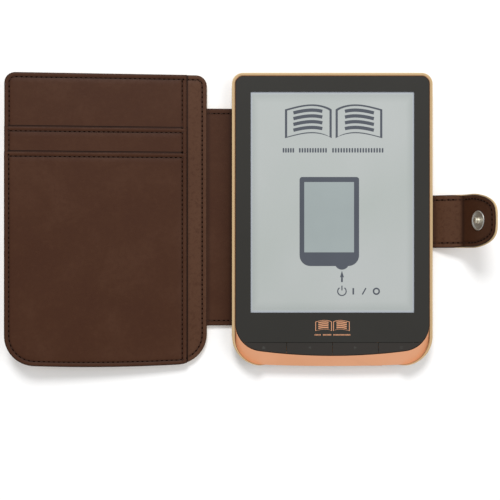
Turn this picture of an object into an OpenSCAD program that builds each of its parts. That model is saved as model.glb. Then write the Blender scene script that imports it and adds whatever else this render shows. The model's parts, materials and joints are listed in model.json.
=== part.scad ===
// E-reader in a folding leather folio, lying open on its back.
// Millimetres, +Z up. The origin is the centre of the back panel's outer face, on the table.

/* [Reader] */
// Width of the reader
reader_w = 108; // [106:0.5:112]
// Height of the reader
reader_h = 161.3; // [159:0.1:166]
// Thickness of the reader
reader_t = 8; // [8:0.1:9]
// Width of the screen's active area
screen_w = 90.6; // [84:0.1:92]
// Height of the screen's active area
screen_h = 122.4; // [116:0.1:124]
// Height of the sloping lower lip of the rear shell, seen from the front
chin_h = 6.3; // [5:0.1:7]
// Height of the row of keys under the screen
key_row_h = 7.2; // [6.8:0.1:8]
// Distance between neighbouring keys
key_pitch = 25.4; // [24:0.1:26]
// Distance that a key travels when it is pressed
key_travel = 0.4; // [0.2:0.05:0.45]
// Distance of the power button from the reader's centre line
power_x = 22.7; // [18:0.1:26]

/* [Folio] */
// Border of the panels beyond the reader, at each side
border = 2; // [1.8:0.1:3]
// Thickness of the outer leather
leather_t = 1; // [0.8:0.1:1.2]
// Thickness of one inner leather layer of the cover
layer_t = 0.5; // [0.4:0.05:0.6]
// Wall of the cradle that the reader sits in
cradle_wall = 1.55; // [1.2:0.05:1.6]
// Height of the spine strip, shorter than the panels
spine_h = 122.4; // [100:0.2:126]
// Distance of the spine strip's middle above the reader's middle
spine_y = 2.6; // [0:0.2:4]
// Air between the closed cover and the reader's face
close_gap = 0.4; // [0.3:0.1:1]
// Angle of the open cover above the table
cover_lift = 5; // [2:1:20]

/* [Pockets] */
// Distance of the document pocket's lip from the spine side of the cover
pocket_lip = 11.2; // [10:0.2:16]
// Distance of the upper card slot below the top of the cover
upper_slot = 30; // [24:0.5:34]
// Distance of the lower card slot below the top of the cover
lower_slot = 44; // [38:0.5:52]

/* [Strap] */
// Width of the closing strap
strap_w = 29.6; // [24:0.2:32]
// Thickness of the closing strap
strap_t = 2.2; // [1.8:0.1:2.4]
// Length of the strap beyond its second fold
strap_tip_l = 28.4; // [25:0.2:32]
// Angle of the strap's side stretch above the table
strap_lift = 27; // [10:1:30]
// Angle between the strap's side stretch and its tip
strap_curl = 40.5; // [0:0.5:45]
// Distance of the press stud from the strap's second fold
stud_l = 14; // [11:0.1:15]

/* [Hidden] */
$fn = 48;

tan_leather = "#c79f63";
brown_leather = "#523830";
copper = "#dc9c74";
charcoal = "#3c3c3b";
steel = "#b9b9b6";
gold = "#c8a24a";
far = 200;

// Panels: the case outline, its layers and the heights they reach
case_w = reader_w + 2 * border;
case_top = reader_h / 2 + border - 0.15;
case_bottom = -reader_h / 2 - 0.55;
back_board_t = 1.4;
back_lining_t = 0.4;
cradle_base_t = 0.8;
back_t = leather_t + back_board_t + back_lining_t;
padding_t = 0.6;
cover_board_t = 0.8;
lining_z = leather_t + padding_t + cover_board_t;
cover_t = lining_z + 4 * layer_t;
layer_inset = 0.4;

// Reader: the heights of its parts above the table
seat_z = back_t + cradle_base_t;
face_z = seat_z + reader_t;
rim_z = face_z - 0.4;
floor_z = seat_z + 1;
board_z = seat_z + 2;
board_top = board_z + 0.8;
frame_z = face_z - 3.15;
frame_top = frame_z + 0.8;
key_shelf_z = frame_z + 0.15;
panel_top = frame_top + 0.95;
guide_top = panel_top + 0.5;
film_top = guide_top + 0.25;
bezel_plate_z = face_z - 0.6;
lip_top = face_z - 0.3;
bezel_w = reader_w - 1;
bezel_top = reader_h / 2 - 0.5;
bezel_bottom = -reader_h / 2 + chin_h;
key_line = bezel_bottom + key_row_h;
screen_y = 10.5;
port_z = seat_z + 3.2;
button_z = seat_z + 3.6;
button_seat_y = -reader_h / 2 + 2.2;
led_x = 12.5;
key_gap = 0.12;
key_y = bezel_bottom + 5.15;
key_post_x = [-36, -key_pitch / 2, key_pitch / 2, 36];
screw_places = [for (x = [-49.6, 49.6], y = [-58, 8, 70]) [x, y]];
board_screw_places = [[-43, -36], [43, -36], [0, -64]];

// Spine: two folds, the strip between them and its sewn-in margins
strip_t = 1.2;
fold_z = leather_t + 0.8;
edge_gap = 0.6;
strip_gap = 0.5;
margin_gap = 1.2;
margin_l = 8;
fold_a_x = -case_w / 2 - edge_gap;
fold_w = face_z + close_gap + cover_t - 2 * fold_z;
closed_top = 2 * fold_z + fold_w;
spine_lift = cover_lift / 2;
fold_b = [fold_a_x - fold_w * cos(spine_lift), 0, fold_z + fold_w * sin(spine_lift)];

// Strap: its two folds
strap_z = leather_t + 0.7;
strap_air = 1.4;
strap_gap = 1.4;
strap_c_x = case_w / 2 + 2.2;
strap_side_l = closed_top + strap_air + strap_t / 2 - strap_z;
strap_d = [strap_c_x + strap_side_l * cos(strap_lift), 0, strap_z + strap_side_l * sin(strap_lift)];
strap_taper = 20;
strap_steps = [0.03, 0.1, 0.3, 0.7, 1.3, 2.2, 3.6, 6, 9, 13, 16.5, strap_taper];
tab_l = 12;
stud_r = 5.35;
post_r = 1.6;

// Places on the closed cover, seen from the front
stud_place = [strap_c_x - stud_l, 0];
badge_place = [39.7, -66.5];
magnet_place = [-43, -56];
badge_r = 4.35;

// Points along an arc about c, both ends included
function arc(c, r, a0, a1, n) = [for (i = [0:n]) c + r * [cos(a0 + (a1 - a0) * i / n), sin(a0 + (a1 - a0) * i / n)]];

// A tall panel with small round top corners and large bottom corners, whose bottom edge is one shallow arc
function slab(w, top, bottom, r_top, r_low, sag_r) =
    let (
        cx = w / 2 - r_low,
        low = [0, bottom + sag_r],
        cy = low.y - sqrt(pow(sag_r - r_low, 2) - cx * cx),
        turn = asin(cx / (sag_r - r_low)),
        base = arc(low, sag_r, -90 - turn, -90 + turn, 10)
    )
    concat(
        [for (i = [1:9]) base[i]],
        arc([cx, cy], r_low, -90 + turn, 0, 12),
        arc([w / 2 - r_top, top - r_top], r_top, 0, 90, 8),
        arc([-w / 2 + r_top, top - r_top], r_top, 90, 180, 8),
        arc([-cx, cy], r_low, 180, 270 - turn, 12)
    );

function rounded(w, h, r) = concat(
    arc([w / 2 - r, h / 2 - r], r, 0, 90, 6),
    arc([-w / 2 + r, h / 2 - r], r, 90, 180, 6),
    arc([-w / 2 + r, -h / 2 + r], r, 180, 270, 6),
    arc([w / 2 - r, -h / 2 + r], r, 270, 360, 6)
);

// The outlines of the case, the reader and its dark face, grown by g
function case_outline(g) = slab(case_w + 2 * g, case_top + g, case_bottom - g, 6 + g, 17 + g, 900);
function reader_outline(g) = slab(reader_w + 2 * g, reader_h / 2 + g, -reader_h / 2 - g, 4.4 + g, 15 + g, 1000);
function cradle_outline() =
    slab(reader_w + 0.3 + 2 * cradle_wall, reader_h / 2 + 0.15 + cradle_wall, -reader_h / 2 - 0.35, 6, 16.4, 900);
function bezel_outline(g) = slab(bezel_w + 2 * g, bezel_top + g, bezel_bottom - g, 3.9 + g, 15 + g, 317);

// Half the strap's width at a distance s from its blunt end
function strap_half(s) = strap_w / 2 * pow(1 - pow(1 - min(s / strap_taper, 1), 1.5), 0.27);
function strap_tip_outline() = let (
        side = [for (s = strap_steps) [strap_tip_l - s, strap_half(s)]]
    )
    concat([[strap_gap, -strap_w / 2], [strap_gap, strap_w / 2]],
        [for (i = [len(side) - 1:-1:0]) side[i]],
        [for (p = side) [p.x, -p.y]]);

module plate(points, z0, z1) {
    translate([0, 0, z0]) linear_extrude(z1 - z0) polygon(points);
}

// A box from its lowest to its highest corner
module block(low, high) {
    translate(low) cube(high - low);
}

// A round disc or pin along Z
module disc(r, z0, z1) {
    translate([0, 0, z0]) cylinder(r = r, h = z1 - z0);
}

// A round pin along Y from y0 to y1
module rod_y(x, z, r, y0, y1) {
    translate([x, y0, z]) rotate([-90, 0, 0]) cylinder(r = r, h = y1 - y0);
}

// Frames of the moving groups: each is drawn flat about its own fold and turned to where it rests
module in_spine() {
    translate([fold_a_x, 0, fold_z]) rotate([0, spine_lift, 0]) children();
}
module in_cover() {
    translate(fold_b) rotate([0, cover_lift, 0]) children();
}
// The cover drawn as a panel about its own middle, outer face down at z = 0
module on_cover_panel() {
    in_cover() translate([-case_w / 2 - edge_gap, 0, -fold_z]) children();
}
module in_strap_side() {
    translate([strap_c_x, 0, strap_z]) rotate([0, -strap_lift, 0]) children();
}
module in_strap_tip() {
    translate(strap_d) rotate([0, -strap_lift - strap_curl, 0]) children();
}

// ---- Back panel and cradle ----

// Room in a panel's filling for the spine strip's sewn-in margin, at the side where x is `side`
module margin_notch(side) {
    x = side * case_w / 2;
    block([min(x, x - side * 10), spine_y - spine_h / 2 - 0.3, -1],
        [max(x, x - side * 10), spine_y + spine_h / 2 + 0.3, 6]);
}

module back_leather() {
    color(tan_leather) plate(case_outline(0), 0, leather_t);
}

module back_board() {
    color("#8d7a62") difference() {
        plate(case_outline(-1.2), leather_t, leather_t + back_board_t);
        margin_notch(-1);
        block([case_w / 2 - tab_l - 0.3, -strap_w / 2 - 0.3, 0], [case_w / 2, strap_w / 2 + 0.3, 6]);
    }
}

module back_lining() {
    color(brown_leather) plate(case_outline(-layer_inset), back_t - back_lining_t, back_t);
}

module cradle_shell() {
    color(tan_leather) difference() {
        plate(cradle_outline(), back_t, rim_z);
        plate(reader_outline(0.15), seat_z, far);
        block([-33, -far, seat_z], [33, -reader_h / 2 + 2, far]);
    }
}

module strap_root() {
    color(tan_leather)
        block([case_w / 2 - tab_l, -strap_w / 2, leather_t], [case_w / 2 + 0.8, strap_w / 2, leather_t + back_board_t]);
}

module spine_margin_back() {
    color(tan_leather) block(
        [fold_a_x + margin_gap, spine_y - spine_h / 2, fold_z - strip_t / 2],
        [fold_a_x + margin_gap + margin_l, spine_y + spine_h / 2, fold_z + strip_t / 2]);
}

// ---- Reader ----

// Openings in the rear shell's lower lip for the port, the power button and the light pipe
module lip_openings() {
    y_out = -reader_h / 2 - 1;
    block([-4.1, y_out, port_z - 1.45], [4.1, bezel_bottom + 1.4, port_z + 1.45]);
    block([power_x - 5.5, y_out, button_z - 1.1], [power_x + 5.5, bezel_bottom, button_z + 1.1]);
    block([power_x - 6.6, button_seat_y, button_z - 1.4], [power_x + 6.6, bezel_bottom + 4, button_z + 1.4]);
    rod_y(led_x, button_z, 0.65, y_out, bezel_bottom + 2);
}

module rear_shell() {
    color(copper) {
        difference() {
            hull() {
                plate(reader_outline(-2.6), seat_z, seat_z + 0.02);
                plate(reader_outline(-0.8), seat_z + 0.9, seat_z + 0.92);
                plate(reader_outline(0), seat_z + 2.6, seat_z + 5);
                plate(bezel_outline(0.5), lip_top - 0.02, lip_top);
            }
            plate(reader_outline(-2.2), floor_z, seat_z + 4.4);
            plate(bezel_outline(-1), seat_z + 4.3, far);
            plate(bezel_outline(0.06), bezel_plate_z - 0.05, far);
            intersection() {
                plate(bezel_outline(0.06), face_z - 1.6, far);
                block([-far, -far, 0], [far, key_line + 1, far]);
            }
            lip_openings();
        }
        for (p = screw_places) translate(p) difference() {
            disc(2, floor_z - 0.1, frame_z);
            disc(0.65, frame_z - 3, far);
        }
        for (p = board_screw_places) translate(p) difference() {
            disc(1.8, floor_z - 0.1, board_z);
            disc(0.5, floor_z, far);
        }
    }
}

module front_bezel() {
    color(charcoal) {
        difference() {
            plate(bezel_outline(0), bezel_plate_z, face_z);
            translate([0, screen_y, 0]) block([-screen_w / 2, -screen_h / 2, 0], [screen_w / 2, screen_h / 2, far]);
            block([-far, -far, 0], [far, key_line, far]);
        }
        difference() {
            plate(bezel_outline(-1.1), frame_top + 0.1, bezel_plate_z);
            plate(bezel_outline(-2), 0, far);
            block([-far, -far, 0], [far, key_line + 1.6, far]);
        }
    }
}

module touch_film() {
    color("#cfd6d3", 0.35) block([-47.5, -57.5, guide_top], [47.5, 73.5, film_top]);
}

module light_guide() {
    color("#e6ecec", 0.4) block([-46.6, -57.2, panel_top], [46.6, 73.2, guide_top]);
}

module light_strip() {
    color("#d8c25a") {
        block([-45, -58.7, panel_top], [45, -57.2, panel_top + 0.15]);
        for (i = [-4:4]) translate([i * 10.6, 0, 0])
            block([-1.6, -58.3, panel_top + 0.15], [1.6, -57.2, panel_top + 0.45]);
    }
}

module epaper_panel() {
    color("#b4bbb6") block([-47.2, -58, frame_top], [47.2, 73.6, panel_top]);
}

module mid_frame() {
    color("#5a5d60") difference() {
        plate(bezel_outline(-1.3), frame_z, frame_top);
        block([-far, -far, key_shelf_z], [far, -63, far]);
        block([-11.5, -60.9, 0], [11.5, -60.2, far]);
        block([-34.4, -62.1, 0], [-26.6, -61.2, far]);
        for (p = screw_places) translate(p) disc(0.9, 0, far);
    }
}

module battery() {
    color("#9aa0a6") translate([0, 14, 0]) plate(rounded(58, 84, 2), floor_z, floor_z + 3.1);
}

module battery_lead() {
    color("#2b2b2b") block([19.5, -34, floor_z + 2.4], [24.5, -28, floor_z + 2.7]);
}

// The board fills the lower part of the shell, cut back around the port and behind the power button
module main_board() {
    color("#2f5d3a") difference() {
        intersection() {
            plate(reader_outline(-3), board_z, board_top);
            block([-46, -far, 0], [46, -31, far]);
        }
        block([-4, -far, 0], [4, -73, far]);
        block([power_x - 6.8, -far, 0], [power_x + 6.8, -73.2, far]);
        for (p = board_screw_places) translate(p) disc(0.7, 0, far);
    }
}

// A chip or module on the board: its middle, width, depth and height
module chip(place, w, d, h) {
    translate([place.x, place.y, board_top]) block([-w / 2, -d / 2, 0], [w / 2, d / 2, h]);
}

module processor() {
    color("#22262a") chip([-16, -52], 14, 14, 1.1);
}
module memory_chip() {
    color("#1c1c1e") chip([14, -52], 11.5, 13, 0.9);
}
module power_chip() {
    color("#26282b") chip([-31, -54], 7, 7, 0.8);
}
module wifi_module() {
    color(steel) chip([33, -52], 13, 12, 1.6);
}
module hall_sensor() {
    color("#1b1b1b") chip([-43, -56], 3, 2, 0.9);
}
module status_led() {
    color("#f2efe0") chip([led_x, -69.6], 1.6, 1.2, 1);
}

module board_connectors() {
    color("#e4dfd2") {
        chip([0, -37], 24, 3.4, 1.1);
        chip([-30.5, -40], 9, 3, 1.1);
        chip([22, -36], 7, 4, 1.5);
    }
}

// A flat ribbon that leaves y0 at height z0, drops at y1, runs back under the frame and drops into a connector at y2
module ribbon(x0, x1, y0, z0, y1, y2) {
    t = 0.12;
    run = frame_z - 0.45;
    plug = board_top + 0.6;
    block([x0, y1, z0], [x1, y0, z0 + t]);
    block([x0, y1, run], [x1, y1 + t, z0 + t]);
    block([x0, y1, run], [x1, y2 - 0.3, run + t]);
    block([x0, y2 - 0.3 - t, plug], [x1, y2 - 0.3, run + t]);
    block([x0, y2 - 0.3 - t, plug], [x1, y2, plug + t]);
}

module display_ribbon() {
    color("#c98b3c") ribbon(-11, 11, -58, frame_top + 0.25, -60.6, -38.7);
}

module touch_ribbon() {
    color("#b97a35") ribbon(-34, -27, -57.5, guide_top + 0.1, -61.75, -41.5);
}

module key_flex() {
    color("#b97a35") intersection() {
        plate(bezel_outline(-1.8), key_shelf_z, key_shelf_z + 0.2);
        block([-42, -far, 0], [42, key_line + 1, far]);
    }
}

module key_domes() {
    color(steel) for (x = key_post_x) translate([x, key_y, key_shelf_z + 0.2]) cylinder(r1 = 1.6, r2 = 0.9, h = 0.3);
}

module power_switch() {
    color(steel) {
        block([power_x - 2.2, -72.6, board_top], [power_x + 2.2, -69.9, board_top + 1.6]);
        rod_y(power_x, button_z, 0.6, -73.1, -72.6);
    }
}

module light_pipe() {
    color("#eef2f2", 0.5) rod_y(led_x, button_z, 0.6, -reader_h / 2 + 0.3, -70.4);
}

module charging_port() {
    color(steel) {
        difference() {
            block([-3.9, -reader_h / 2 + 0.9, port_z - 1.3], [3.9, -73.2, port_z + 1.3]);
            block([-3.5, -far, port_z - 0.95], [3.5, -74.2, port_z + 0.95]);
        }
        block([-2, -reader_h / 2 + 2, port_z - 0.3], [2, -74.1, port_z + 0.3]);
    }
}

// A pan-head screw with a cross recess, its head resting at z
module screw(z, r, head_r, head_h, l) {
    difference() {
        union() {
            disc(head_r, z, z + head_h);
            disc(r, z - l, z + 0.01);
        }
        block([-head_r * 0.6, -0.15, z + head_h / 2], [head_r * 0.6, 0.15, far]);
        block([-0.15, -head_r * 0.6, z + head_h / 2], [0.15, head_r * 0.6, far]);
    }
}

module chassis_screws() {
    color(steel) for (p = screw_places) translate(p) screw(frame_top, 0.62, 1.3, 0.7, 3.2);
}

module board_screws() {
    color(steel) for (p = board_screw_places) translate(p) screw(board_top, 0.48, 1.1, 0.6, 1.5);
}

// ---- Keys ----

// One key of the row under the screen: its cap, the lip that keeps it under the bezel, and the post over its dome
module key_cap(i) {
    x0 = i == 0 ? -far : (i - 2) * key_pitch + key_gap;
    x1 = i == 3 ? far : (i - 1) * key_pitch - key_gap;
    color(charcoal) {
        intersection() {
            plate(bezel_outline(-0.08), face_z - 1, face_z);
            block([x0, -far, 0], [x1, key_line - 0.25, far]);
        }
        intersection() {
            plate(bezel_outline(-3), face_z - 1.3, face_z - 0.8);
            block([x0 + 1, key_line - 2, 0], [x1 - 1, key_line + 0.8, far]);
        }
        translate([key_post_x[i], key_y, 0]) disc(1.1, key_shelf_z + 0.5 + key_travel + 0.1, face_z - 0.9);
    }
}

// The button: its cap with a fine groove, the lip that keeps it in the shell, and the stem behind it
module power_button() {
    y_face = -reader_h / 2 + 0.1;
    y_lip = button_seat_y + 0.1;
    color(copper) {
        difference() {
            block([power_x - 5.3, y_face, button_z - 0.95], [power_x + 5.3, y_lip, button_z + 0.95]);
            block([power_x - 4.5, y_face - 1, button_z - 0.12], [power_x + 4.5, y_face + 0.12, button_z + 0.12]);
        }
        block([power_x - 6.3, y_lip, button_z - 1.2], [power_x + 6.3, y_lip + 0.7, button_z + 1.2]);
        block([power_x - 1.5, y_lip + 0.6, button_z - 0.6], [power_x + 1.5, -73.65, button_z + 0.6]);
    }
}

// ---- Spine ----

module spine_strip(z0, z1) {
    in_spine() block([-fold_w + strip_gap, spine_y - spine_h / 2, z0], [-strip_gap, spine_y + spine_h / 2, z1]);
}

module spine_leather() {
    color(tan_leather) spine_strip(-strip_t / 2, 0);
}

module spine_lining() {
    color(brown_leather) spine_strip(0, strip_t / 2);
}

module spine_margin_cover() {
    color(tan_leather) in_cover() block(
        [-margin_gap - margin_l, spine_y - spine_h / 2, -strip_t / 2],
        [-margin_gap, spine_y + spine_h / 2, strip_t / 2]);
}

// ---- Cover ----

// A place on the closed cover, seen from the front, as a place on the panel as it is drawn
function on_panel(place) = [-place.x, place.y];

module cover_leather() {
    color(tan_leather) on_cover_panel() difference() {
        plate(case_outline(0), 0, leather_t);
        translate(on_panel(stud_place)) disc(3.3, -1, 3);
        translate(on_panel(badge_place)) disc(0.85, -1, 3);
    }
}

module cover_padding() {
    color("#d9cfb8") on_cover_panel() difference() {
        plate(case_outline(-4.2), leather_t, leather_t + padding_t);
        margin_notch(1);
        translate(on_panel(stud_place)) disc(3.3, -1, 3);
        translate(on_panel(badge_place)) disc(0.85, -1, 3);
    }
}

module cover_board() {
    color("#8d7a62") on_cover_panel() difference() {
        plate(case_outline(-1.2), leather_t + padding_t, lining_z);
        margin_notch(1);
        translate(on_panel(magnet_place)) disc(3.1, -1, 6);
    }
}

module cover_lining() {
    color(brown_leather) on_cover_panel() plate(case_outline(-layer_inset), lining_z, lining_z + layer_t);
}

// One pocket leaf of the cover: layer n above the lining, reaching up to `top`
module pocket_leaf(n, top) {
    z = lining_z + n * layer_t;
    color(brown_leather) on_cover_panel() intersection() {
        plate(case_outline(-layer_inset), z, z + layer_t);
        block([-far, -far, 0], [case_w / 2 - pocket_lip, top, far]);
    }
}

module document_pocket() {
    pocket_leaf(1, far);
}
module upper_card_pocket() {
    pocket_leaf(2, case_top - upper_slot);
}
module lower_card_pocket() {
    pocket_leaf(3, case_top - lower_slot);
}

module sleep_magnet() {
    color(steel) on_cover_panel() translate(on_panel(magnet_place)) disc(3, leather_t + padding_t, lining_z);
}

// The socket takes the strap's stud through the cover's outer leather
module snap_socket() {
    color(steel) on_cover_panel() translate(on_panel(stud_place)) difference() {
        union() {
            disc(5.5, -0.4, 0);
            disc(3.2, -0.01, 1.5);
        }
        disc(post_r + 0.15, -1, 1.2);
    }
}

module cover_badge() {
    color(steel) on_cover_panel() translate(on_panel(badge_place)) {
        disc(badge_r, -0.6, 0);
        disc(0.8, -0.01, leather_t);
    }
}

// ---- Strap ----

module strap_side(z0, z1) {
    in_strap_side() block([strap_gap, -strap_w / 2, z0], [strap_side_l - strap_gap, strap_w / 2, z1]);
}
module strap_side_leather() {
    color(tan_leather) strap_side(-strap_t / 2, 0);
}
module strap_side_lining() {
    color(brown_leather) strap_side(0, strap_t / 2);
}

module strap_tip_leather() {
    color(tan_leather) in_strap_tip() plate(strap_tip_outline(), -strap_t / 2, 0);
}
module strap_tip_lining() {
    color(brown_leather) in_strap_tip() difference() {
        plate(strap_tip_outline(), 0, strap_t / 2);
        translate([stud_l, 0, 0]) disc(1.2, 0.3, 3);
    }
}

// The stud: a dished disc on the lining, a post with a round head, and a shank into the lining
module snap_stud() {
    face = strap_t / 2;
    color(steel) in_strap_tip() translate([stud_l, 0, 0]) {
        difference() {
            disc(stud_r, face, face + 0.6);
            disc(stud_r - 0.9, face + 0.35, 5);
        }
        disc(1.15, 0.3, face + 0.01);
        disc(post_r - 0.3, face, face + 2.2);
        translate([0, 0, face + 1.3]) cylinder(r1 = post_r - 0.3, r2 = post_r, h = 0.4);
        disc(post_r, face + 1.7, face + 2);
        translate([0, 0, face + 2]) cylinder(r1 = post_r, r2 = post_r - 0.5, h = 0.3);
    }
}

back_leather();
back_board();
back_lining();
cradle_shell();
strap_root();
spine_margin_back();
rear_shell();
front_bezel();
touch_film();
light_guide();
light_strip();
epaper_panel();
mid_frame();
battery();
battery_lead();
main_board();
processor();
memory_chip();
power_chip();
wifi_module();
board_connectors();
display_ribbon();
touch_ribbon();
key_flex();
key_domes();
power_switch();
hall_sensor();
status_led();
light_pipe();
charging_port();
chassis_screws();
board_screws();
key_cap(0);  // home_key
key_cap(1);  // page_back_key
key_cap(2);  // page_forward_key
key_cap(3);  // menu_key
power_button();
spine_leather();
spine_lining();
spine_margin_cover();
cover_leather();
cover_padding();
cover_board();
cover_lining();
document_pocket();
upper_card_pocket();
lower_card_pocket();
sleep_magnet();
snap_socket();
cover_badge();
strap_side_leather();
strap_side_lining();
strap_tip_leather();
strap_tip_lining();
snap_stud();
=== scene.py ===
"""An e-reader lying open in its leather folio: tan outside, brown inside, with a strap and a press stud.

Lengths are millimetres until a mesh is built; its matrix turns them into the metres of the row frame.
Panel coordinates have their origin at the middle of a panel, with its outer face down at z = 0.
"""
import json
import math

import bpy
import numpy as np
from mathutils import Matrix, Vector


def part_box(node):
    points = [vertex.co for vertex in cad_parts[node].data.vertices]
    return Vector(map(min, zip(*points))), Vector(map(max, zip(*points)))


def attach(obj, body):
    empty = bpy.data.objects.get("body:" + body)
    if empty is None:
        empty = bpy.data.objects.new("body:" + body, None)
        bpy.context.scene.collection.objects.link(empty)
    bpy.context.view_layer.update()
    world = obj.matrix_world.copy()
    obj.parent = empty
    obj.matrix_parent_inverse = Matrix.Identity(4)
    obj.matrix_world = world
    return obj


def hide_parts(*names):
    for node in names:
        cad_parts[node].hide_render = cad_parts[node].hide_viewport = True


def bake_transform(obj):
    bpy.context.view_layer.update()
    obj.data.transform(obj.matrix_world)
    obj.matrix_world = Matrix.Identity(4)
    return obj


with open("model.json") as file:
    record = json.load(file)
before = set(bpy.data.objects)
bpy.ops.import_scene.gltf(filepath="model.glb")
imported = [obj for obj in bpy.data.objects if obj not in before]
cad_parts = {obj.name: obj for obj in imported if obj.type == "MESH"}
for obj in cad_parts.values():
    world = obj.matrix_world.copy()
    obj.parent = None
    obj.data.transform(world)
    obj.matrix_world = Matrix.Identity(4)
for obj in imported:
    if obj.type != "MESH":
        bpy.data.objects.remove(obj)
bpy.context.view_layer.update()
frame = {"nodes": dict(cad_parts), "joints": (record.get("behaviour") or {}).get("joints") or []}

MM = 0.001
JOINTS = {j["name"]: j for j in frame["joints"]}


# ---- Places and sizes, from the frame ----

def corner(node, high=True):
    """A node's highest or lowest corner at rest."""
    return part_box(node)[1 if high else 0] / MM


def fold(name):
    return Vector(JOINTS[name]["pos_m"]) / MM


def lift(name):
    """How far a fold is bent at rest: it closes to a right angle at its upper limit."""
    return math.radians(90 - JOINTS[name]["range_deg"][1])


CASE_W = 2 * corner("back_leather").x
CASE_TOP = corner("back_leather").y
CASE_BOTTOM = corner("back_leather", False).y
BACK_TOP = corner("back_lining").z
RIM_TOP = corner("cradle_shell").z
RIM_SIDE = corner("cradle_shell").x
READER_W = 2 * corner("rear_shell").x
READER_H = 2 * corner("rear_shell").y
SEAT_Z = corner("rear_shell", False).z
FACE_Z = corner("front_bezel").z
FILM_Z = corner("touch_film").z
KEY_LINE = corner("page_back_key").y
SPINE_LOW, SPINE_HIGH = corner("spine_lining", False).y, corner("spine_lining").y
STRAP_W = 2 * corner("strap_side_leather").y

FOLD_A, FOLD_B, FOLD_C, FOLD_D = map(fold, ("spine_fold", "cover_fold", "strap_root_fold", "strap_tip_fold"))
SPINE_LIFT = lift("spine_fold")
COVER_LIFT = SPINE_LIFT + lift("cover_fold")
STRAP_LIFT = lift("strap_root_fold")
STRAP_RISE = STRAP_LIFT + lift("strap_tip_fold")
EDGE_GAP = -CASE_W / 2 - FOLD_A.x

# Layers of the cover, counted from its outer face
SEAM_Z = 1.85
LINING_TOP = 2.9
DOCUMENT_TOP = 3.4
UPPER_TOP = 3.9
LOWER_TOP = 4.4
POCKET_X = CASE_W / 2 - 11.2
UPPER_LIP = CASE_TOP - 30
LOWER_LIP = CASE_TOP - 44

# Spine strip: the thickness of each of its two layers, and how far it and the strap reach in under the panels
SPINE_LAYER = 0.6
SEWN_IN = 9

# Strap and fittings; its two leathers meet a little above its middle
STRAP_T = 2.2
STRAP_MEET = 0.3
STUD_AT = 14
SOCKET_PLACE = (STUD_AT - FOLD_C.x, 0)
BADGE_PLACE = (-39.7, -66.5)

STITCH_INSET = 2.75
STITCH_PITCH = 2.7
EDGE_RANGE = 20

# The window in the bezel
SCREEN_W, SCREEN_H, SCREEN_Y = 90.6, 122.4, 10.5
BEZEL_TOP = corner("front_bezel").y
BEZEL_LOW = corner("page_back_key", False).y - 0.08

BACK = Matrix.Scale(MM, 4)
COVER = (BACK @ Matrix.Translation(FOLD_B) @ Matrix.Rotation(COVER_LIFT, 4, "Y")
         @ Matrix.Translation((-CASE_W / 2 - EDGE_GAP, 0, -FOLD_A.z)))


# ---- Camera ----

def make_camera():
    """Looks straight down from half a metre, with the reader right of the middle."""
    height = 500
    view_width = 277
    data = bpy.data.cameras.new("camera")
    data.sensor_width = 36
    data.lens = data.sensor_width * (height - FACE_Z) / view_width
    camera = bpy.data.objects.new("camera", data)
    camera.location = (-45.7 * MM, -16 * MM, height * MM)
    bpy.context.scene.collection.objects.link(camera)
    bpy.context.scene.camera = camera


make_camera()


# ---- Materials ----

def linear(r, g, b):
    """A colour as a screen shows it, 0 to 255, as a linear colour."""
    shares = [c / 255 for c in (r, g, b)]
    return tuple(((c + 0.055) / 1.055) ** 2.4 if c > 0.04 else c / 12.92 for c in shares) + (1.0,)


class Shader:
    """A material with one Principled shader, and short calls for the nodes that feed it."""

    def __init__(self, name, **values):
        self.material = bpy.data.materials.new(name)
        self.material.use_nodes = True
        self.nodes = self.material.node_tree.nodes
        self.links = self.material.node_tree.links
        self.surface = self.nodes["Principled BSDF"]
        for socket, value in values.items():
            self.surface.inputs[socket.replace("_", " ")].default_value = value

    def put(self, kind, inputs=(), **settings):
        made = self.nodes.new(kind)
        for name, value in settings.items():
            setattr(made, name, value)
        for socket, value in dict(inputs).items():
            if isinstance(value, bpy.types.NodeSocket):
                self.links.new(value, made.inputs[socket])
            else:
                made.inputs[socket].default_value = value
        return made

    def feed(self, socket, value):
        self.links.new(value, self.surface.inputs[socket])

    def place(self, attribute=None):
        """The coordinates that a pattern is fixed to: a piece's own flat ones, or the object's."""
        if attribute:
            return self.put("ShaderNodeAttribute", attribute_name=attribute).outputs["Vector"]
        return self.put("ShaderNodeTexCoord").outputs["Object"]

    def share(self, attribute):
        return self.put("ShaderNodeAttribute", attribute_name=attribute).outputs["Fac"]

    def noise(self, vector, size_mm, detail=3.0, roughness=0.5, distortion=0.0):
        values = {"Vector": vector, "Scale": 1 / (size_mm * MM), "Detail": detail, "Roughness": roughness,
                  "Distortion": distortion}
        return self.put("ShaderNodeTexNoise", values).outputs["Fac"]

    def cells(self, vector, size_mm):
        values = {"Vector": vector, "Scale": 1 / (size_mm * MM)}
        return self.put("ShaderNodeTexVoronoi", values, feature="SMOOTH_F1").outputs["Distance"]

    def ramp(self, value, stops):
        """value through a colour ramp; stops are (place, colour or grey)."""
        made = self.put("ShaderNodeValToRGB", {"Fac": value})
        elements = made.color_ramp.elements
        while len(elements) < len(stops):
            elements.new(0.5)
        for element, (place, colour) in zip(elements, stops):
            element.position = place
            element.color = colour if isinstance(colour, tuple) else (colour, colour, colour, 1)
        return made.outputs["Color"]

    def mix(self, share, a, b, blend="MIX"):
        inputs = {0: share, 6: a, 7: b}
        return self.put("ShaderNodeMix", inputs, data_type="RGBA", blend_type=blend).outputs[2]

    def maths(self, operation, a, b=0.0):
        return self.put("ShaderNodeMath", {0: a, 1: b}, operation=operation).outputs[0]

    def bump(self, height, depth_mm, strength=1.0, under=None):
        values = {"Height": height, "Distance": depth_mm * MM, "Strength": strength}
        if under is not None:
            values["Normal"] = under
        return self.put("ShaderNodeBump", values).outputs["Normal"]


def grey(k):
    return (k, k, k, 1.0)


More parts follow.
